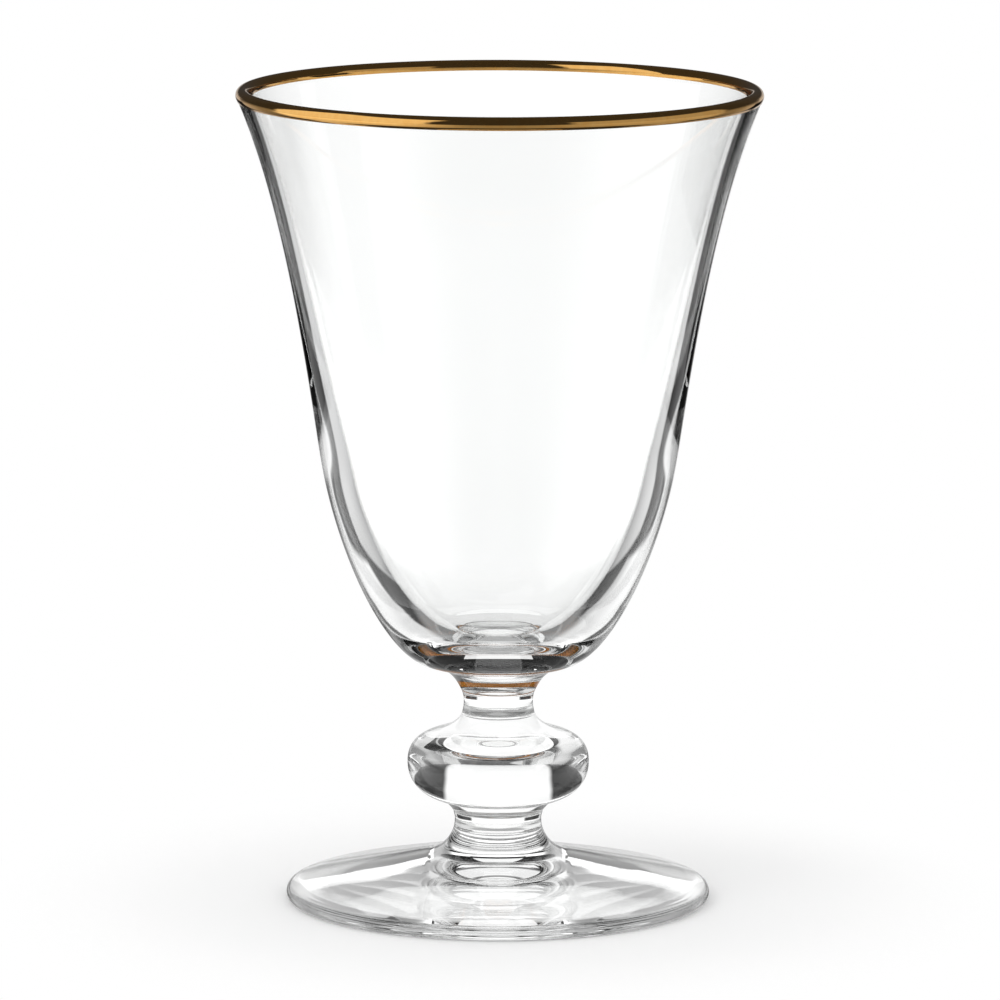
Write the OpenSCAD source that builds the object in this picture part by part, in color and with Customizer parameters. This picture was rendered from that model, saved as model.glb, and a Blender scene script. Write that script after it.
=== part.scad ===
// Stemmed water goblet: a flared bowl on a short stem with one ball knop and a wide plate foot.
// Every piece is turned about the Z axis. The origin is on the axis, at the plane the foot rests on.

/* [Foot] */
// Radius of the plate foot
foot_r = 35.7; // [31:0.1:42]
// Thickness of the rounded edge of the foot
foot_edge_t = 2.5; // [1.8:0.1:3.2]
// Slope of the top of the foot above the horizontal, in degrees
foot_slope = 13; // [10:0.5:15]
// Radius where the slope turns up towards the stem
flare_r = 12.2; // [11:0.1:14]
// Height of the foot up to its joint with the lower neck
foot_h = 12.5; // [12:0.1:14]
// Width of the ground ring that the foot rests on
rest_w = 1.2; // [0.6:0.1:2]
// Slope of the hollow underside above the horizontal, in degrees
under_slope = 9; // [7:0.5:10]
// Radius where that slope turns into the smooth dome of the middle
dome_r = 26; // [22:0.5:28]
// Rise of the dome above the end of the slope
dome_rise = 2.8; // [2:0.1:3.4]

/* [Lower neck] */
// Height of the lower neck
lower_neck_h = 2.5; // [2:0.1:4]
// Radius of the stem at the joint of foot and lower neck
foot_joint_r = 7.4; // [6.5:0.05:8.5]
// Lean of the stem at that joint, in degrees outwards going up
foot_joint_lean = -8; // [-20:1:0]

/* [Knop] */
// Height of the ball knop between its two joints
knop_h = 16.8; // [15:0.1:20]
// Largest radius of the knop
knop_r = 15.3; // [13:0.05:18]
// Height of the largest radius above the lower joint
knop_belly_h = 8.4; // [7.5:0.1:9]
// Radius of the stem at the joint of lower neck and knop
knop_low_joint_r = 7.55; // [6.5:0.05:8.5]
// Lean of the stem at that joint, in degrees
knop_low_joint_lean = 10; // [0:1:25]
// Radius where the neck turns out into the underside of the knop
knop_heel_r = 9.3; // [9:0.1:10.5]
// Height of that turn above the lower joint
knop_heel_h = 1.9; // [1.2:0.1:2.6]
// Lean of the underside of the knop there, in degrees
knop_heel_lean = 76; // [60:1:84]
// Radius where the knop's shoulder turns up into the upper neck
knop_shoulder_r = 9.9; // [8.8:0.1:11]
// Depth of that turn below the upper joint
knop_shoulder_d = 3; // [2.4:0.1:3.6]
// Lean of the shoulder there, in degrees
knop_shoulder_lean = -75; // [-84:1:-60]

/* [Upper neck] */
// Height of the upper neck
upper_neck_h = 3.8; // [3:0.1:6]
// Radius of the stem at the joint of knop and upper neck
knop_top_joint_r = 6.1; // [5:0.05:7]
// Lean of the stem at that joint, in degrees
knop_top_joint_lean = -15; // [-25:1:0]
// Radius of the stem at the joint of upper neck and bowl
bowl_joint_r = 6.2; // [5:0.05:7]
// Lean of the stem at that joint, in degrees
bowl_joint_lean = 24; // [5:1:35]

/* [Bowl] */
// Height from the bowl's joint to the start of the rounded lip, outside
bowl_h = 100.2; // [85:0.1:120]
// Outside radius at the start of the rounded lip
lip_r = 43.8; // [38:0.1:50]
// Thickness of the rounded lip
lip_t = 2.2; // [1.6:0.1:2.6]
// Lean of the wall at the lip, in degrees
lip_lean = 23.5; // [14:0.5:32]
// Height of the waist, where the cup turns into the flare, above the bowl's joint
waist_h = 40; // [34:0.5:48]
// Outside radius at the waist
waist_r = 30; // [26:0.1:34]
// Lean of the wall at the waist, in degrees
waist_lean = 8; // [4:0.5:12]
// Thickness of the wall at the waist
waist_t = 4.25; // [3.6:0.05:4.8]
// Lean of the inner wall at the waist, in degrees
inner_waist_lean = 14.5; // [12:0.5:17]
// Radius where the underside of the bowl turns up into the cup
bowl_heel_r = 11.9; // [10.5:0.1:13]
// Height of that turn above the bowl's joint
bowl_heel_h = 4.5; // [3.8:0.1:5.2]
// Lean of the underside of the bowl there, in degrees
bowl_heel_lean = 80; // [70:1:85]
// Radius inside the cup where the wall turns into the dished floor
knee_r = 16.3; // [15.5:0.1:17]
// Height of that turn above the bowl's joint
knee_h = 16.6; // [15.8:0.1:17.4]
// Lean of the inner wall there, in degrees
knee_lean = 36; // [32:1:40]
// Radius of the nearly flat round mark in the middle of the floor
flat_r = 8.6; // [6:0.1:9.4]
// Lean of the dish around that mark, in degrees
dish_lean = 75.5; // [70:0.5:80]
// Height of the edge of the mark above the bowl's joint
flat_edge_h = 10.65; // [10.6:0.05:11]
// Thickness of the glass under the middle of the cup, down to the bowl's joint
bowl_floor_t = 10.55; // [9.6:0.05:10.6]

/* [Gold rim] */
// Thickness of the fired gold band, a stand-in for a film
gold_t = 0.1; // [0.06:0.01:0.2]
// Depth of the band outside, measured from the start of the rounded lip
gold_out_d = 0.5; // [0.3:0.1:3]
// Depth of the band inside, measured from the end of the rounded lip
gold_in_d = 1; // [0.3:0.1:2]

/* [Quality] */
// Facets of a full turn in the preview
turn_facets = 144; // [72:24:288]
// Straight steps that a curved stretch of an outline is cut into
curve_steps = 16; // [8:2:20]

/* [Hidden] */

// Heights of the joints, stacked up from the rest plane
lower_neck_z = foot_h;
knop_z = lower_neck_z + lower_neck_h;
upper_neck_z = knop_z + knop_h;
bowl_z = upper_neck_z + upper_neck_h;
lip_z = bowl_z + bowl_h;

// How far a curve is pulled along its direction at each end, as shares of the straight distance
flare_pull_shares = [0.25, 0.43];
lower_neck_pull_shares = [0.72, 0.4];
knop_heel_pull_shares = [0.12, 0.12];
knop_under_pull_shares = [0.11, 0.58];
knop_over_pull_shares = [0.51, 0.34];
knop_shoulder_pull_shares = [0.29, 0.29];
upper_neck_pull_shares = [0.39, 0.34];
bowl_heel_pull_shares = [0.41, 0.41];
cup_pull_shares = [0.2, 0.35];
wall_flare_pull_shares = [0.39, 0.26];
inner_flare_pull_shares = [0.32, 0.3];
inner_cup_pull_shares = [0.1, 0.43];
dish_pull_shares = [0.38, 0.38];
flat_pull_shares = [0.33, 0.33];
dome_pull_shares = [0.4, 0.4];

// Colours of the two finishes
glass_colour = [0.86, 0.9, 0.91, 0.45];
gold_colour = [0.8, 0.6, 0.25];

// Direction that leans outwards from +Z by an angle
function heading(lean) = [sin(lean), cos(lean)];

// Point at share t of the way along a cubic curve with four control points
function on_curve(a, b, c, d, t) =
    pow(1 - t, 3) * a + 3 * pow(1 - t, 2) * t * b + 3 * (1 - t) * t * t * c + pow(t, 3) * d;

// Smooth stretch of an outline: leaves p at one lean and arrives at q at another
function sweep(p, p_lean, q, q_lean, pulls) =
    let (d = norm(q - p), b = p + pulls[0] * d * heading(p_lean), c = q - pulls[1] * d * heading(q_lean))
    [for (i = [0:curve_steps]) on_curve(p, b, c, q, i / curve_steps)];

// Round stretch of an outline, about a centre, between two angles
function arc(centre, r, from, to) =
    [for (i = [0:curve_steps]) let (a = from + (to - from) * i / curve_steps) centre + r * [cos(a), sin(a)]];

// An outline without its last point, which the next stretch starts with
function open_end(points) = [for (i = [0:len(points) - 2]) points[i]];

module turned(outline) {
    rotate_extrude($fn = turn_facets)
        polygon(outline);
}

// Rounded edge of the foot, and the places where its slope and its flare start
edge_r = foot_edge_t / 2;
edge_centre = [foot_r - edge_r, edge_r];
edge_top = edge_centre + edge_r * [sin(foot_slope), cos(foot_slope)];
slope_lean = foot_slope - 90;
flare_start = [flare_r, edge_top[1] + (edge_top[0] - flare_r) * tan(foot_slope)];
rest_inner_r = edge_centre[0] - rest_w;
dome_edge = [dome_r, (rest_inner_r - dome_r) * tan(under_slope)];
dome_top = [0, dome_edge[1] + dome_rise];

module foot() {
    outline = concat(
        [[0, foot_h]],
        open_end(sweep([foot_joint_r, foot_h], foot_joint_lean + 180, flare_start, slope_lean + 180,
            flare_pull_shares)),
        [flare_start],
        arc(edge_centre, edge_r, 90 - foot_slope, -90),
        [[rest_inner_r, 0]],
        sweep(dome_edge, under_slope - 90, dome_top, -90, dome_pull_shares));
    color(glass_colour)
        turned(outline);
}

module lower_neck() {
    outline = concat(
        [[0, lower_neck_z]],
        sweep([foot_joint_r, lower_neck_z], foot_joint_lean,
            [knop_low_joint_r, knop_z], knop_low_joint_lean, lower_neck_pull_shares),
        [[0, knop_z]]);
    color(glass_colour)
        turned(outline);
}

module knop() {
    heel = [knop_heel_r, knop_z + knop_heel_h];
    belly = [knop_r, knop_z + knop_belly_h];
    shoulder = [knop_shoulder_r, upper_neck_z - knop_shoulder_d];
    outline = concat(
        [[0, knop_z]],
        open_end(sweep([knop_low_joint_r, knop_z], knop_low_joint_lean,
            heel, knop_heel_lean, knop_heel_pull_shares)),
        open_end(sweep(heel, knop_heel_lean, belly, 0, knop_under_pull_shares)),
        open_end(sweep(belly, 0, shoulder, knop_shoulder_lean, knop_over_pull_shares)),
        sweep(shoulder, knop_shoulder_lean,
            [knop_top_joint_r, upper_neck_z], knop_top_joint_lean, knop_shoulder_pull_shares),
        [[0, upper_neck_z]]);
    color(glass_colour)
        turned(outline);
}

module upper_neck() {
    outline = concat(
        [[0, upper_neck_z]],
        sweep([knop_top_joint_r, upper_neck_z], knop_top_joint_lean,
            [bowl_joint_r, bowl_z], bowl_joint_lean, upper_neck_pull_shares),
        [[0, bowl_z]]);
    color(glass_colour)
        turned(outline);
}

// Rounded lip: it ends the wall at a right angle to its lean
lip_outer = [lip_r, lip_z];
lip_normal = [cos(lip_lean), -sin(lip_lean)];
lip_centre = lip_outer - lip_normal * lip_t / 2;
lip_inner = lip_outer - lip_normal * lip_t;

module bowl() {
    heel = [bowl_heel_r, bowl_z + bowl_heel_h];
    waist = [waist_r, bowl_z + waist_h];
    inner_waist = waist - [waist_t, 0];
    knee = [knee_r, bowl_z + knee_h];
    flat_edge = [flat_r, bowl_z + flat_edge_h];
    outline = concat(
        [[0, bowl_z]],
        open_end(sweep([bowl_joint_r, bowl_z], bowl_joint_lean, heel, bowl_heel_lean, bowl_heel_pull_shares)),
        open_end(sweep(heel, bowl_heel_lean, waist, waist_lean, cup_pull_shares)),
        open_end(sweep(waist, waist_lean, lip_outer, lip_lean, wall_flare_pull_shares)),
        open_end(arc(lip_centre, lip_t / 2, -lip_lean, 180 - lip_lean)),
        open_end(sweep(lip_inner, lip_lean + 180, inner_waist, inner_waist_lean + 180,
            inner_flare_pull_shares)),
        open_end(sweep(inner_waist, inner_waist_lean + 180, knee, knee_lean + 180, inner_cup_pull_shares)),
        open_end(sweep(knee, knee_lean + 180, flat_edge, dish_lean + 180, dish_pull_shares)),
        sweep(flat_edge, -90, [0, bowl_z + bowl_floor_t], -90, flat_pull_shares));
    color(glass_colour)
        turned(outline);
}

// Gold band fired over the lip: its two skirts are straight and lie along the wall
module gold_rim() {
    skirt_out = lip_outer - gold_out_d * heading(lip_lean);
    skirt_in = lip_inner - gold_in_d * heading(lip_lean);
    lift = gold_t * lip_normal;
    outline = concat(
        [skirt_out],
        arc(lip_centre, lip_t / 2, -lip_lean, 180 - lip_lean),
        [skirt_in, skirt_in - lift],
        arc(lip_centre, lip_t / 2 + gold_t, 180 - lip_lean, -lip_lean),
        [skirt_out + lift]);
    color(gold_colour)
        turned(outline);
}

foot();
lower_neck();
knop();
upper_neck();
bowl();
gold_rim();
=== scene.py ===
import math

import bpy
from mathutils import Matrix, Vector


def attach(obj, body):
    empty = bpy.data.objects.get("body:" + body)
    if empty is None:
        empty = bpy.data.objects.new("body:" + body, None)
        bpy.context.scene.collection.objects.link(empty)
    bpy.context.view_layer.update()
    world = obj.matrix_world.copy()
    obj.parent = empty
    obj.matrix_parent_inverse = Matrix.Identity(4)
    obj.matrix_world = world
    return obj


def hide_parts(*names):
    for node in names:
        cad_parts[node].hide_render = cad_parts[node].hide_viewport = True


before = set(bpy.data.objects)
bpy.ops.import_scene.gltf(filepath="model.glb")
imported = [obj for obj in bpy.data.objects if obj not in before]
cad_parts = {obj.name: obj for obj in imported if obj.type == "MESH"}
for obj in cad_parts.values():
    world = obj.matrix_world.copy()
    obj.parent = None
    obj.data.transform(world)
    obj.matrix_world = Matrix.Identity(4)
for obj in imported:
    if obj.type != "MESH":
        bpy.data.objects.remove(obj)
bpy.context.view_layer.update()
scene = bpy.context.scene
mm = 0.001
print("frame loaded:", sorted(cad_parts))


# node helpers


class Wire:
    # one output socket; the usual operators on it add Math nodes
    def __init__(self, board, socket):
        self.board = board
        self.socket = socket

    def __add__(self, other):
        return self.board.math("ADD", self, other)

    def __radd__(self, other):
        return self.board.math("ADD", other, self)

    def __sub__(self, other):
        return self.board.math("SUBTRACT", self, other)

    def __rsub__(self, other):
        return self.board.math("SUBTRACT", other, self)

    def __mul__(self, other):
        return self.board.math("MULTIPLY", self, other)

    def __rmul__(self, other):
        return self.board.math("MULTIPLY", other, self)

    def __truediv__(self, other):
        return self.board.math("DIVIDE", self, other)

    def __rtruediv__(self, other):
        return self.board.math("DIVIDE", other, self)

    def __mod__(self, other):
        return self.board.math("MODULO", self, other)

    def __abs__(self):
        return self.board.math("ABSOLUTE", self)

    def __gt__(self, other):
        return self.board.math("GREATER_THAN", self, other)

    def __lt__(self, other):
        return self.board.math("LESS_THAN", self, other)


class Board:
    # a node tree, shader or geometry, that is filled node by node
    def __init__(self, tree):
        self.tree = tree
        tree.nodes.clear()

    def add(self, kind, settings=None, inputs=None, out=0):
        # settings first, then the sockets' values or links; gives back the chosen output
        node = self.tree.nodes.new(kind)
        for name, value in (settings or {}).items():
            setattr(node, name, value)
        for name, value in (inputs or {}).items():
            if isinstance(value, Wire):
                self.tree.links.new(value.socket, node.inputs[name])
            else:
                node.inputs[name].default_value = value
        return Wire(self, node.outputs[out]) if len(node.outputs) else node

    def math(self, operation, *values):
        return self.add("ShaderNodeMath", {"operation": operation}, dict(enumerate(values)))

    def side(self, wire, name):
        # another output of the node that wire comes from
        return Wire(self, wire.socket.node.outputs[name])

    def ease(self, value, low, high):
        # 0 below low, 1 above high, smooth between
        return self.add("ShaderNodeMapRange", {"interpolation_type": "SMOOTHSTEP"},
                        {"Value": value, "From Min": low, "From Max": high})

    def band(self, value, start, end):
        # comes in over the pair start and goes out over the pair end; None leaves that side open
        if start is None:
            return 1 - self.ease(value, *end)
        if end is None:
            return self.ease(value, *start)
        return self.ease(value, *start) * (1 - self.ease(value, *end))

    def tint(self, share, first, second):
        return self.add("ShaderNodeMix", {"data_type": "RGBA"}, {0: share, 6: first, 7: second}, out=2)


# outlines, in mm: the radius first, then the height


def heading(lean):
    # lean from straight up, outwards positive, in degrees
    return math.sin(math.radians(lean)), math.cos(math.radians(lean))


def sweep(start, startLean, end, endLean, pulls, steps):
    # a cubic curve between two stations that leaves and meets them at the given leans
    reach = math.dist(start, end)
    leave = heading(startLean)
    meet = heading(endLean)
    first = [p + pulls[0] * reach * d for p, d in zip(start, leave)]
    last = [p - pulls[1] * reach * d for p, d in zip(end, meet)]
    points = []
    for i in range(steps + 1):
        t = i / steps
        weights = (1 - t) ** 3, 3 * (1 - t) ** 2 * t, 3 * (1 - t) * t * t, t ** 3
        pairs = list(zip(weights, (start, first, last, end)))
        points.append(tuple(sum(w * p[k] for w, p in pairs) for k in (0, 1)))
    return points


def arc(centre, radius, start, end, steps):
    turns = [math.radians(start + (end - start) * i / steps) for i in range(steps + 1)]
    return [(centre[0] + radius * math.cos(a), centre[1] + radius * math.sin(a)) for a in turns]


def line(start, end, steps):
    return [tuple(a + (b - a) * i / steps for a, b in zip(start, end)) for i in range(steps + 1)]


def joined(*runs):
    # one outline from runs that meet end to end
    points = []
    for run in runs:
        points += [p for p in run if not points or math.dist(p, points[-1]) > 1e-6]
    return points


def melted(points, low, high, fadeHeight, rounds):
    # fire-polished glass has no sudden bends: from low to high, points drift to their neighbours' middle
    for _ in range(rounds):
        moved = [points[0]]
        for before, point, after in zip(points, points[1:], points[2:]):
            reach = min((point[1] - low) / fadeHeight, (high - point[1]) / fadeHeight)
            share = max(0.0, min(1.0, reach)) / 2
            moved.append(tuple(p * (1 - share) + (a + c) / 2 * share
                               for a, p, c in zip(before, point, after)))
        points = moved + [points[-1]]
    return points


# the lathe that turns every piece

latheSettings = {"facets": 240, "weld": 0.0000015}


def latheTree():
    # turns the outline (x is the radius, z the height) about Z
    tree = bpy.data.node_groups.new("turned outline", "GeometryNodeTree")
    tree.is_modifier = True
    face = tree.interface
    face.new_socket("Outline", in_out="INPUT", socket_type="NodeSocketGeometry")
    for name, kind in (("Facets", "NodeSocketInt"), ("Weld", "NodeSocketFloat"),
                       ("Skin", "NodeSocketMaterial"), ("Joint", "NodeSocketMaterial")):
        face.new_socket(name, in_out="INPUT", socket_type=kind)
    face.new_socket("Solid", in_out="OUTPUT", socket_type="NodeSocketGeometry")
    b = Board(tree)
    outline = b.add("NodeGroupInput")
    facets, weld, skin, joint = (b.side(outline, name) for name in ("Facets", "Weld", "Skin", "Joint"))
    count = b.add("GeometryNodeAttributeDomainSize", None, {"Geometry": outline}, out="Point Count")
    grid = b.add("GeometryNodeMeshGrid", None, {"Vertices X": facets + 1, "Vertices Y": count}, out="Mesh")
    index = b.add("GeometryNodeInputIndex")
    station = index % count
    turn = b.math("FLOOR", (index + 0.5) / count) / facets * (2 * math.pi)

    def carried(kind, source):
        # the outline's own value at this point's station
        return b.add("GeometryNodeSampleIndex", {"data_type": kind, "domain": "POINT"},
                     {"Geometry": outline, "Value": source, "Index": station}, out="Value")

    def capMark():
        return b.add("GeometryNodeInputNamedAttribute", {"data_type": "FLOAT"}, {"Name": "cap"},
                     out="Attribute")

    place = carried("FLOAT_VECTOR", b.add("GeometryNodeInputPosition"))
    radius = b.add("ShaderNodeSeparateXYZ", None, {0: place}, out="X")
    east = b.math("COSINE", turn) * radius
    north = b.math("SINE", turn) * radius
    spot = b.add("ShaderNodeCombineXYZ", None, {"X": east, "Y": north, "Z": b.side(radius, "Z")})
    kept = b.add("GeometryNodeStoreNamedAttribute", {"data_type": "FLOAT", "domain": "POINT"},
                 {"Geometry": grid, "Name": "cap", "Value": carried("FLOAT", capMark())})
    shaped = b.add("GeometryNodeSetPosition", None, {"Geometry": kept, "Position": spot})
    closed = b.add("GeometryNodeMergeByDistance", None, {"Geometry": shaped, "Distance": weld})
    # a face is a joint's flat where all its corners are marked
    marked = b.add("GeometryNodeFieldOnDomain", {"data_type": "FLOAT", "domain": "FACE"}, {0: capMark()})
    onCap = marked > 0.9
    smooth = b.add("GeometryNodeSetShadeSmooth", None, {"Geometry": closed, "Shade Smooth": 1 - onCap})
    skinned = b.add("GeometryNodeSetMaterial", None, {"Geometry": smooth, "Material": skin})
    capped = b.add("GeometryNodeSetMaterial", None,
                   {"Geometry": skinned, "Selection": onCap, "Material": joint})
    real = b.add("GeometryNodeRealizeInstances", None, {"Geometry": capped})
    b.add("NodeGroupOutput", None, {"Solid": real})
    return tree


lathe = latheTree()


def turned(name, points, skin, joint, caps=()):
    # points in mm from the bottom's middle outwards and up; caps are the heights of the fused flats
    outline = bpy.data.meshes.new(name + " outline")
    edges = [(i, i + 1) for i in range(len(points) - 1)]
    outline.from_pydata([(r * mm, 0, z * mm) for r, z in points], edges, [])
    marks = [float(any(abs(z - height) < 1e-6 for height in caps)) for r, z in points]
    outline.attributes.new("cap", "FLOAT", "POINT").data.foreach_set("value", marks)
    rough = bpy.data.objects.new(name, outline)
    scene.collection.objects.link(rough)
    modifier = rough.modifiers.new("lathe", "NODES")
    modifier.node_group = lathe
    sockets = {item.name: item.identifier for item in lathe.interface.items_tree
               if item.item_type == "SOCKET"}
    for key, value in (("Facets", latheSettings["facets"]), ("Weld", latheSettings["weld"]),
                       ("Skin", skin), ("Joint", joint)):
        modifier[sockets[key]] = value
    bpy.context.view_layer.update()
    mesh = bpy.data.meshes.new_from_object(rough.evaluated_get(bpy.context.evaluated_depsgraph_get()))
    bpy.data.objects.remove(rough)
    bpy.data.meshes.remove(outline)
    mesh.name = name
    piece = bpy.data.objects.new(name, mesh)
    scene.collection.objects.link(piece)
    volume = sum(f.center.dot(f.normal) * f.area for f in mesh.polygons) / 3
    if volume < 0:
        mesh.flip_normals()
    print(f"{name}: {len(mesh.polygons)} faces, {abs(volume) * 1e6:.2f} ml of glass or gold")
    return piece


# finishes


def newMaterial(name):
    material = bpy.data.materials.new(name)
    material.use_nodes = True
    return material, Board(material.node_tree)


def finishMaterial(b, settings):
    # what varies comes in linked, what is the same everywhere is set on the socket
    shader = b.add("ShaderNodeBsdfPrincipled", None, settings)
    b.add("ShaderNodeOutputMaterial", None, {"Surface": shader})


def clouded(b, scale, detail):
    spot = b.add("ShaderNodeTexCoord", out="Object")
    return b.add("ShaderNodeTexNoise", None, {"Vector": spot, "Scale": scale, "Detail": detail})


def swelled(b, look):
    # slow swells that bend the light a little; the height is in metres
    swell = clouded(b, look["swells"], 2)
    return b.add("ShaderNodeBump", None,
                 {"Height": swell, "Strength": 1.0, "Distance": look["swellHeight"]})


glassLook = {"ior": 1.5, "clear": (0.995, 0.998, 0.996, 1), "faint": (0.985, 0.992, 0.989, 1),
             "tintScale": 60, "swells": 60, "swellHeight": 0.000015}


def clearGlass(look):
    material, b = newMaterial("clear glass")
    colour = b.tint(clouded(b, look["tintScale"], 3), look["clear"], look["faint"])
    finishMaterial(b, {"Base Color": colour, "Transmission Weight": 1.0, "IOR": look["ior"],
                       "Roughness": 0.0, "Normal": swelled(b, look)})
    return material


def fusedJoint():
    # glass melted to glass has no surface, so these faces don't show
    material, b = newMaterial("fused joint")
    finishMaterial(b, {"Base Color": (1, 1, 1, 1), "Alpha": 0.0, "Roughness": 1.0})
    return material


goldLook = {"bright": (0.95, 0.58, 0.20, 1), "deep": (0.84, 0.42, 0.10, 1), "tintScale": 900,
            "gloss": 0.03, "cloudedGloss": 0.06, "swells": 350, "swellHeight": 0.00001}


def firedGold(look):
    material, b = newMaterial("fired gold")
    cloud = clouded(b, look["tintScale"], 3)
    finishMaterial(b, {"Base Color": b.tint(cloud, look["bright"], look["deep"]), "Metallic": 1.0,
                       "Roughness": look["gloss"] + cloud * look["cloudedGloss"],
                       "Normal": swelled(b, look)})
    return material


glass = clearGlass(glassLook)
joint = fusedJoint()
gold = firedGold(goldLook)

# foot

foot = {"radius": 35.7, "edgeThick": 2.5, "slope": 13, "flareRadius": 12.2, "height": 12.5,
        "restWidth": 1.2, "underSlope": 9, "domeRadius": 26, "domeRise": 2.8,
        "jointRadius": 7.4, "jointLean": -8, "flarePulls": (0.43, 0.25), "domePulls": (0.4, 0.4)}


def footOutline(f):
    edge = f["edgeThick"] / 2
    centre = f["radius"] - edge, edge
    tilt = math.radians(f["slope"])
    top = centre[0] + edge * math.sin(tilt), centre[1] + edge * math.cos(tilt)
    flare = f["flareRadius"], top[1] + (top[0] - f["flareRadius"]) * math.tan(tilt)
    restInner = centre[0] - f["restWidth"]
    dome = f["domeRadius"], (restInner - f["domeRadius"]) * math.tan(math.radians(f["underSlope"]))
    return joined(
        sweep((0, dome[1] + f["domeRise"]), 90, dome, 90 + f["underSlope"], f["domePulls"], 40),
        line(dome, (restInner, 0), 6), [(centre[0], 0)],
        arc(centre, edge, -90, 90 - f["slope"], 20), line(top, flare, 12),
        sweep(flare, f["slope"] - 90, (f["jointRadius"], f["height"]), f["jointLean"],
              f["flarePulls"], 40),
        [(0, f["height"])])


footGlass = turned("foot_glass", footOutline(foot), glass, joint, caps=(foot["height"],))

# lower neck

lowerNeck = {"height": 2.5, "topRadius": 7.55, "topLean": 10, "pulls": (0.72, 0.4)}
neckTop = foot["height"] + lowerNeck["height"]
lowerNeckGlass = turned("lower_neck_glass", joined(
    [(0, foot["height"])],
    sweep((foot["jointRadius"], foot["height"]), foot["jointLean"], (lowerNeck["topRadius"], neckTop),
          lowerNeck["topLean"], lowerNeck["pulls"], 16),
    [(0, neckTop)]), glass, joint, caps=(foot["height"], neckTop))

# knop

knop = {"height": 16.8, "radius": 15.3, "bellyHeight": 8.4,
        "heelRadius": 9.3, "heelHeight": 1.9, "heelLean": 76,
        "shoulderRadius": 9.9, "shoulderDrop": 3, "shoulderLean": -75, "topRadius": 6.1, "topLean": -15,
        "heelPulls": (0.12, 0.12), "underPulls": (0.11, 0.58), "overPulls": (0.51, 0.34),
        "shoulderPulls": (0.29, 0.29)}
knopTop = neckTop + knop["height"]
knopHeel = knop["heelRadius"], neckTop + knop["heelHeight"]
knopBelly = knop["radius"], neckTop + knop["bellyHeight"]
knopShoulder = knop["shoulderRadius"], knopTop - knop["shoulderDrop"]
knopGlass = turned("knop_glass", joined(
    [(0, neckTop)],
    sweep((lowerNeck["topRadius"], neckTop), lowerNeck["topLean"], knopHeel, knop["heelLean"],
          knop["heelPulls"], 16),
    sweep(knopHeel, knop["heelLean"], knopBelly, 0, knop["underPulls"], 36),
    sweep(knopBelly, 0, knopShoulder, knop["shoulderLean"], knop["overPulls"], 36),
    sweep(knopShoulder, knop["shoulderLean"], (knop["topRadius"], knopTop), knop["topLean"],
          knop["shoulderPulls"], 24),
    [(0, knopTop)]), glass, joint, caps=(neckTop, knopTop))

# upper neck

upperNeck = {"height": 3.8, "topRadius": 6.2, "topLean": 24, "pulls": (0.39, 0.34)}
stemTop = knopTop + upperNeck["height"]
upperNeckGlass = turned("upper_neck_glass", joined(
    [(0, knopTop)],
    sweep((knop["topRadius"], knopTop), knop["topLean"], (upperNeck["topRadius"], stemTop),
          upperNeck["topLean"], upperNeck["pulls"], 20),
    [(0, stemTop)]), glass, joint, caps=(knopTop, stemTop))

# bowl; heights count from its joint with the stem, and it is melted between two of them

bowl = {"height": 100.2, "lipRadius": 43.8, "lipThick": 2.2, "lipLean": 23.5,
        "waistHeight": 40, "waistRadius": 30, "waistLean": 8, "waistThick": 4.25,
        "heelRadius": 11.9, "heelHeight": 4.5, "heelLean": 80,
        "innerWaistLean": 14.5, "kneeRadius": 16.3, "kneeHeight": 16.6, "kneeLean": 36,
        "flatRadius": 8.6, "flatHeight": 10.65, "flatLean": 75.5, "floorThick": 10.55,
        "heelPulls": (0.41, 0.41), "cupPulls": (0.2, 0.35), "wallPulls": (0.39, 0.26),
        "innerWallPulls": (0.32, 0.3), "innerCupPulls": (0.1, 0.43), "dishPulls": (0.38, 0.38),
        "flatPulls": (0.33, 0.33), "meltLow": 18, "meltHigh": 70, "meltFade": 10, "meltRounds": 30}
lipOuter = bowl["lipRadius"], stemTop + bowl["height"]
lipTilt = math.radians(bowl["lipLean"])
lipNormal = math.cos(lipTilt), -math.sin(lipTilt)


def inFromLip(depth):
    return lipOuter[0] - lipNormal[0] * depth, lipOuter[1] - lipNormal[1] * depth


def bowlOutline(v):
    heel = v["heelRadius"], stemTop + v["heelHeight"]
    waist = v["waistRadius"], stemTop + v["waistHeight"]
    innerWaist = waist[0] - v["waistThick"], waist[1]
    knee = v["kneeRadius"], stemTop + v["kneeHeight"]
    flatRim = v["flatRadius"], stemTop + v["flatHeight"]
    outline = joined(
        [(0, stemTop)],
        sweep((upperNeck["topRadius"], stemTop), upperNeck["topLean"], heel, v["heelLean"],
              v["heelPulls"], 28),
        sweep(heel, v["heelLean"], waist, v["waistLean"], v["cupPulls"], 60),
        sweep(waist, v["waistLean"], lipOuter, v["lipLean"], v["wallPulls"], 56),
        arc(inFromLip(v["lipThick"] / 2), v["lipThick"] / 2, -v["lipLean"], 180 - v["lipLean"], 20),
        sweep(inFromLip(v["lipThick"]), v["lipLean"] + 180, innerWaist, v["innerWaistLean"] + 180,
              v["innerWallPulls"], 56),
        sweep(innerWaist, v["innerWaistLean"] + 180, knee, v["kneeLean"] + 180, v["innerCupPulls"], 40),
        sweep(knee, v["kneeLean"] + 180, flatRim, v["flatLean"] + 180, v["dishPulls"], 36),
        sweep(flatRim, -90, (0, stemTop + v["floorThick"]), -90, v["flatPulls"], 16))
    return melted(outline, stemTop + v["meltLow"], stemTop + v["meltHigh"], v["meltFade"], v["meltRounds"])


bowlGlass = turned("bowl_glass", bowlOutline(bowl), glass, joint, caps=(stemTop,))

# gold rim

goldRim = {"thick": 0.1, "outDrop": 0.5, "inDrop": 1.0, "bite": 0.03}


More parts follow.
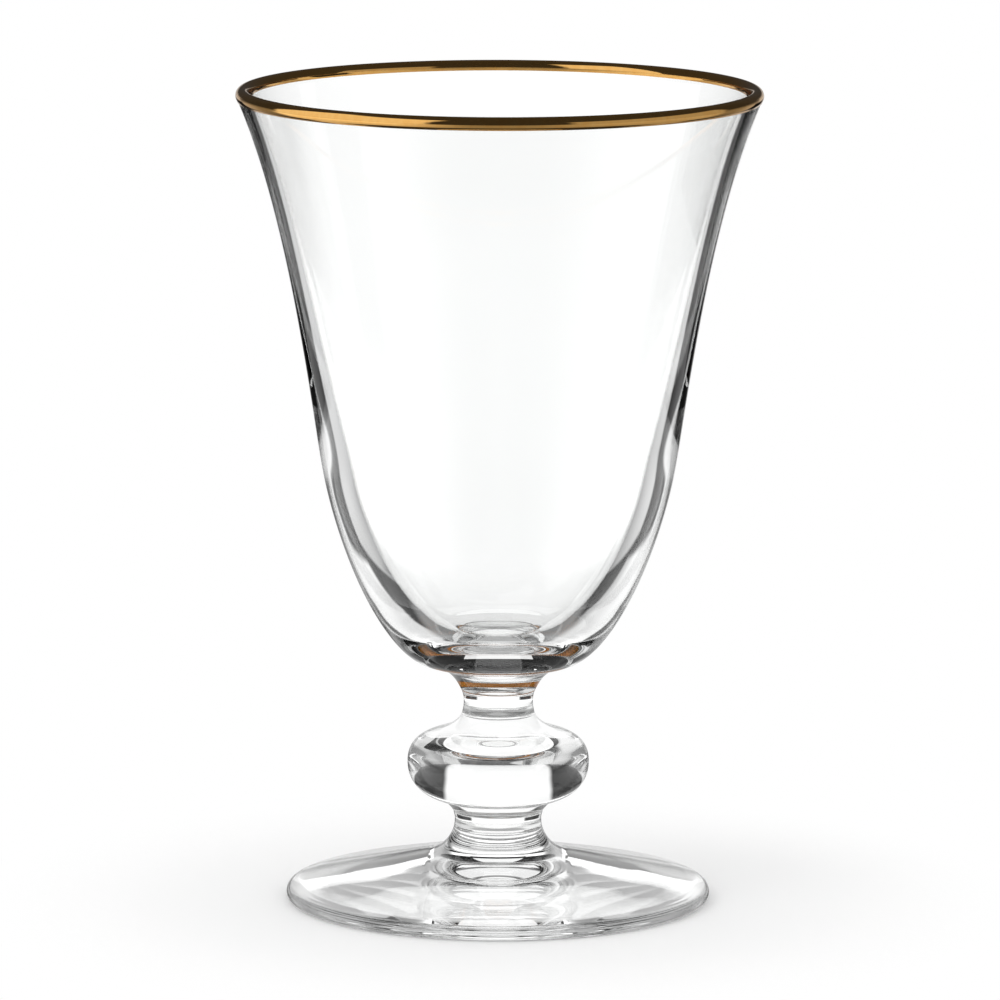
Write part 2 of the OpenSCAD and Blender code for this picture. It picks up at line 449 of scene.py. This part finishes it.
def rimOutline(g):
    # a closed loop over the lip; its inner skin bites a little into the glass, so the two don't lie flush
    centre = inFromLip(bowl["lipThick"] / 2)
    along = math.sin(lipTilt), math.cos(lipTilt)
    inner = bowl["lipThick"] / 2 - g["bite"]
    outer = bowl["lipThick"] / 2 + g["thick"]
    start = -bowl["lipLean"]
    end = 180 - bowl["lipLean"]

    def below(radius, side, drop):
        return (centre[0] + side * lipNormal[0] * radius - along[0] * drop,
                centre[1] + side * lipNormal[1] * radius - along[1] * drop)

    loop = joined([below(outer, 1, g["outDrop"])], arc(centre, outer, start, end, 32),
                  [below(outer, -1, g["inDrop"]), below(inner, -1, g["inDrop"])],
                  arc(centre, inner, end, start, 24), [below(inner, 1, g["outDrop"])])
    return loop + loop[:1]


goldPiece = turned("gold_rim_band", rimOutline(goldRim), gold, joint)

for piece, node in ((footGlass, "foot"), (lowerNeckGlass, "lower_neck"), (knopGlass, "knop"),
                    (upperNeckGlass, "upper_neck"), (bowlGlass, "bowl"), (goldPiece, "gold_rim")):
    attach(piece, "root")
    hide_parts(node)
print("pieces placed")

# studio floor: pale near the goblet, plain white further out and through the glass

studioGround = {"radius": 3.0, "facets": 64, "drop": 0.00002, "pale": (0.97, 0.97, 0.97, 1),
                "halo": (0.045, 0.09), "glow": 0.06, "passing": (0.12, 0.2)}


def studioFloor(g):
    turns = [2 * math.pi * i / g["facets"] for i in range(g["facets"])]
    ring = [(g["radius"] * math.cos(a), g["radius"] * math.sin(a), -g["drop"]) for a in turns]
    mesh = bpy.data.meshes.new("studio floor")
    mesh.from_pydata(ring, [], [list(range(g["facets"]))])
    floor = bpy.data.objects.new("studio_floor", mesh)
    scene.collection.objects.link(floor)
    material, b = newMaterial("pale floor")
    spot = b.add("ShaderNodeTexCoord", out="Object")
    away = b.add("ShaderNodeVectorMath", {"operation": "LENGTH"}, {0: spot}, out="Value")
    path = b.add("ShaderNodeLightPath", out="Is Camera Ray")
    mirrored = b.side(path, "Glossy Depth") > 0.5
    through = b.math("MAXIMUM", b.side(path, "Is Glossy Ray"), b.side(path, "Is Transmission Ray"))
    far = b.math("MAXIMUM", b.ease(away, *g["halo"]), through)
    matte = b.add("ShaderNodeBsdfDiffuse", None, {"Color": g["pale"]})
    white = b.add("ShaderNodeEmission", None,
                  {"Color": (1, 1, 1, 1), "Strength": 1.0 + through * g["glow"]})
    clear = b.add("ShaderNodeBsdfTransparent", None, {"Color": (1, 1, 1, 1)})
    seen = b.add("ShaderNodeMixShader", None, {0: far, 1: matte, 2: white})
    # mirrored rays, and those through glass that land far out, go on to the studio's own light
    passed = b.math("MAXIMUM", mirrored, through * b.ease(away, *g["passing"]))
    laid = b.add("ShaderNodeMixShader", None, {0: passed, 1: seen, 2: clear})
    b.add("ShaderNodeOutputMaterial", None, {"Surface": laid})
    mesh.materials.append(material)


studioFloor(studioGround)

# dark cards behind the goblet: each is a radius, a first and last degree, and the heights of foot and top

glassCards = {"strips": ((0.3, -62, -13, 0.085, 0.42), (0.3, -13, 13, 0.068, 0.13),
                         (0.3, 13, 62, 0.085, 0.42), (0.1, 60, 88, 0.085, 0.2)),
              "level": 0.01, "facets": 24}
goldCards = {"strips": ((0.07, -75, 75, 0.141, 0.4),), "level": 0.045, "facets": 24}


def studioCards(name, cards, forGlass):
    # curved cards; mirrored rays meet them inside glass only, or outside glass only
    points = []
    faces = []
    for radius, start, end, low, high in cards["strips"]:
        for i in range(cards["facets"] + 1):
            turn = math.radians(start + (end - start) * i / cards["facets"])
            spot = radius * math.sin(turn), radius * math.cos(turn)
            points += [(*spot, low), (*spot, high)]
            if i:
                n = len(points)
                faces.append((n - 4, n - 2, n - 1, n - 3))
    mesh = bpy.data.meshes.new(name)
    mesh.from_pydata(points, [], faces)
    holder = bpy.data.objects.new(name, mesh)
    scene.collection.objects.link(holder)
    material, b = newMaterial(name)
    path = b.add("ShaderNodeLightPath", out="Glossy Depth")
    inside = b.side(path, "Transmission Depth") > 0.5
    shown = (path > 0.5) * (inside if forGlass else 1 - inside)
    dark = b.add("ShaderNodeEmission", None, {"Color": (1, 1, 1, 1), "Strength": cards["level"]})
    clear = b.add("ShaderNodeBsdfTransparent", None, {"Color": (1, 1, 1, 1)})
    card = b.add("ShaderNodeMixShader", None, {0: shown, 1: clear, 2: dark})
    b.add("ShaderNodeOutputMaterial", None, {"Surface": card})
    mesh.materials.append(material)


studioCards("glass_cards", glassCards, True)
studioCards("gold_cards", goldCards, False)

# studio light, painted patch over patch on the sky. Degrees count aside from straight behind the goblet,
# and up or down from level. A patch comes in over the first pair and goes out over the second. Side keeps
# it to the left (-1) or the right (1). A level of four values goes from the first to the second over the
# degrees up that the last two give

# what the glass's inner mirrors meet: a white sheet on the table, soft boxes aside, a dim back
innerLight = {
    "ground": 0.45,
    "sheet": {"level": 1.45, "fades": ((10, 36, 0.6), (40, 48, 0.4)),
              "sideFades": ((22, 30, 0.35), (36, 52, 0.4)), "starts": (0, 3), "ends": (56, 64)},
    "boxes": (
        {"side": -1, "aside": ((62, 70), (100, 160)), "up": ((-60, -50), (41, 51)), "level": 1.0},
        {"side": 1, "aside": ((62, 70), (100, 160)), "up": ((-60, -50), (33, 43)), "level": 0.75},
        {"aside": ((100, 160), None), "up": ((-40, 0), None), "level": (0.32, 0.02, 12, 20)}),
    "ahead": (
        {"aside": (None, (22, 28)), "up": ((-1, 1), (45, 47)), "level": (1.6, 1.0, 14, 18)},
        {"aside": ((23, 29), (57, 63)), "up": ((-7, -1), (43, 49)), "level": 0.35})}

# two black cards on the table beside the sheet; their edges open out further down, and more on the right
tableCards = {
    "nearStart": 8, "nearGrowth": 2, "nearFrom": 17, "nearMost": 25.5, "nearRight": 3, "nearMostRight": 6.5,
    "farStart": 28, "farGrowth": 1.3, "farFrom": 24, "farRight": 3.5,
    "nearEdge": (-2, 2), "farEdge": (-1.5, 1.5), "down": ((3, 9), (43, 49)),
    "level": 0.01, "levelRight": -0.005, "edgeLevel": 0.08, "edgeFade": (0, 12), "downFade": (20, 24, 0.6),
    "beyond": {"edge": (0, 3), "down": (32, 38), "ends": (56, 64), "level": 0.2}}

# overhead: dark but for a strip ahead and the tall left box
overhead = {
    "ground": 0.12, "up": (44, 50),
    "patches": (
        {"side": -1, "aside": (None, (110, 125)), "up": ((57, 63), None), "level": 0.8},
        {"aside": (None, (32, 44)), "up": ((49, 53), (68, 72)), "level": 1.15})}

# what the outer gloss of glass and gold meets: the same sheet ahead, soft boxes aside, a dark room above
outerLight = {
    "ground": 0.04,
    "boxes": (
        {"side": 1, "aside": ((61, 67), (145, 151)), "up": ((-12, -4), (22, 30)), "level": 0.42},
        {"side": -1, "aside": ((63, 69), (145, 151)), "up": ((-12, -4), (51, 59)), "level": 0.95}),
    "table": {"down": ((4, 12), (50, 58)), "ends": (125, 170), "level": 0.7, "levelRight": -0.5,
              "near": 1.15, "fade": (12, 50, 0.6), "least": 0.3},
    "sheet": {"ends": (58, 70), "down": ((-4, 0), (44, 48)), "share": 0.45},
    "ahead": ({"aside": (None, (22, 32)), "up": ((2, 10), (46, 54)), "level": 1.0},)}

# what passes straight through glass meets: white, brighter low at the sides, with dark flags for thin glass
straightLight = {
    "level": 1.1, "sideGain": 0.8, "sides": (4, 26), "down": (0, 6), "thickFrom": 3.5,
    "flags": {"aside": ((25, 29), (60, 64)), "up": ((-3, 3), (39, 45)), "depth": 0.97}}


def studioWorld():
    world = bpy.data.worlds.new("studio")
    scene.world = world
    world.use_nodes = True
    b = Board(world.node_tree)
    look = b.add("ShaderNodeTexCoord", out="Generated")
    x = b.add("ShaderNodeSeparateXYZ", None, {0: look}, out="X")
    degrees = 180 / math.pi
    turn = b.math("ARCTAN2", x, b.side(x, "Y")) * degrees
    up = b.math("ARCSINE", b.side(x, "Z")) * degrees
    down = up * -1
    aside = abs(turn)
    right = turn > 0
    path = b.add("ShaderNodeLightPath", out="Is Camera Ray")
    mirrored = b.side(path, "Glossy Depth") > 0.5
    matte = b.side(path, "Is Diffuse Ray")
    thick = b.side(path, "Transmission Depth") > straightLight["thickFrom"]

    def put(base, mask, value):
        return base * (1 - mask) + mask * value

    def painted(base, patches):
        for patch in patches:
            mask = b.band(aside, *patch["aside"]) * b.band(up, *patch["up"])
            if "side" in patch:
                mask = mask * (right if patch["side"] > 0 else 1 - right)
            level = patch["level"]
            if isinstance(level, tuple):
                first, last, start, end = level
                level = first + b.ease(up, start, end) * (last - first)
            base = put(base, mask, level)
        return base

    def whiteSheet(s):
        level = s["level"]
        for start, end, loss in s["fades"]:
            level = level - b.ease(down, start, end) * loss
        for start, end, loss in s["sideFades"]:
            level = level * (1 - b.ease(aside, start, end) * loss)
        return level

    def blackCards(base, c):
        opening = b.math("MAXIMUM", down - c["nearFrom"], 0) * c["nearGrowth"]
        near = b.math("MINIMUM", opening + c["nearStart"] + right * c["nearRight"],
                      c["nearMost"] + right * c["nearMostRight"])
        far = b.math("MAXIMUM", down - c["farFrom"], 0) * c["farGrowth"]
        far = far + c["farStart"] + right * c["farRight"]
        lying = b.band(aside - near, c["nearEdge"], None) * b.band(aside - far, None, c["farEdge"])
        start, end, loss = c["downFade"]
        level = b.band(aside - near, None, c["edgeFade"]) * c["edgeLevel"]
        level = level + c["level"] + right * c["levelRight"]
        base = put(base, lying * b.band(down, *c["down"]), level * (1 - b.ease(down, start, end) * loss))
        beyond = c["beyond"]
        mask = b.ease(aside - far, *beyond["edge"]) * b.ease(down, *beyond["down"])
        return put(base, mask * b.band(aside, None, beyond["ends"]), beyond["level"])

    sheet = innerLight["sheet"]
    light = put(innerLight["ground"], b.ease(down, *sheet["starts"]) * b.band(aside, None, sheet["ends"]),
                whiteSheet(sheet))
    light = painted(light, innerLight["boxes"])
    light = blackCards(light, tableCards)
    light = painted(light, innerLight["ahead"])
    light = put(light, b.ease(up, *overhead["up"]), painted(overhead["ground"], overhead["patches"]))

    gloss = painted(outerLight["ground"], outerLight["boxes"])
    table = outerLight["table"]
    start, end, loss = table["fade"]
    shine = table["near"] - b.ease(down, start, end) * loss
    shine = shine * (table["level"] + right * table["levelRight"])
    shine = b.band(aside, None, table["ends"]) * shine + table["least"]
    gloss = put(gloss, b.band(down, *table["down"]), shine)
    laid = outerLight["sheet"]
    mask = b.band(aside, None, laid["ends"]) * b.band(down, *laid["down"])
    gloss = put(gloss, mask, light * laid["share"])
    gloss = painted(gloss, outerLight["ahead"])
    light = put(light, b.side(path, "Transmission Depth") < 0.5, gloss)

    s = straightLight
    flags = b.band(aside, *s["flags"]["aside"]) * b.band(up, *s["flags"]["up"])
    straight = s["level"] + b.ease(aside, *s["sides"]) * b.ease(down, *s["down"]) * s["sideGain"]
    straight = straight * (1 - flags * (1 - thick) * s["flags"]["depth"])
    level = put(straight, mirrored, light)
    level = put(level, matte, 1.0)
    level = put(level, path, 1.0)
    colour = b.add("ShaderNodeCombineColor", None, {0: level, 1: level, 2: level})
    sky = b.add("ShaderNodeBackground", None, {"Color": colour, "Strength": 1.0})
    b.add("ShaderNodeOutputWorld", None, {"Surface": sky})


studioWorld()

# the soft lamp that gives the goblet its shadow

keyLamp = {"place": (-0.7, -0.5, 0.8), "aim": (0, 0, 0.06), "size": 0.5, "power": 1.2}


def softLamp(name, k):
    lamp = bpy.data.lights.new(name, "AREA")
    lamp.shape = "DISK"
    lamp.size = k["size"]
    lamp.energy = k["power"]
    holder = bpy.data.objects.new(name, lamp)
    scene.collection.objects.link(holder)
    holder.location = k["place"]
    towards = Vector(k["aim"]) - holder.location
    holder.rotation_euler = towards.to_track_quat("-Z", "Y").to_euler()
    holder.visible_glossy = False
    holder.visible_transmission = False


softLamp("key", keyLamp)

# camera, at the place that the photo's outline gives

view = {"back": 1.3417, "up": 0.2878, "pitch": 9.31, "roll": 0.0023, "lens": 291.83, "sensor": 36,
        "shift": (0.0012, 0.0005), "near": 0.05, "far": 20}


def photoCamera(v):
    lens = bpy.data.cameras.new("photo view")
    lens.sensor_width = v["sensor"]
    lens.lens = v["lens"]
    lens.shift_x, lens.shift_y = v["shift"]
    lens.clip_start = v["near"]
    lens.clip_end = v["far"]
    camera = bpy.data.objects.new("photo view", lens)
    scene.collection.objects.link(camera)
    camera.matrix_world = (Matrix.Translation((0, -v["back"], v["up"]))
                           @ Matrix.Rotation(math.radians(90 - v["pitch"]), 4, "X")
                           @ Matrix.Rotation(v["roll"], 4, "Z"))
    return camera


scene.camera = photoCamera(view)
scene.view_settings.view_transform = "Standard"
# light goes through many walls of glass before it leaves
scene.cycles.max_bounces = 32
scene.cycles.transmission_bounces = 32
scene.cycles.glossy_bounces = 32
scene.cycles.transparent_max_bounces = 64
print("studio and camera set")
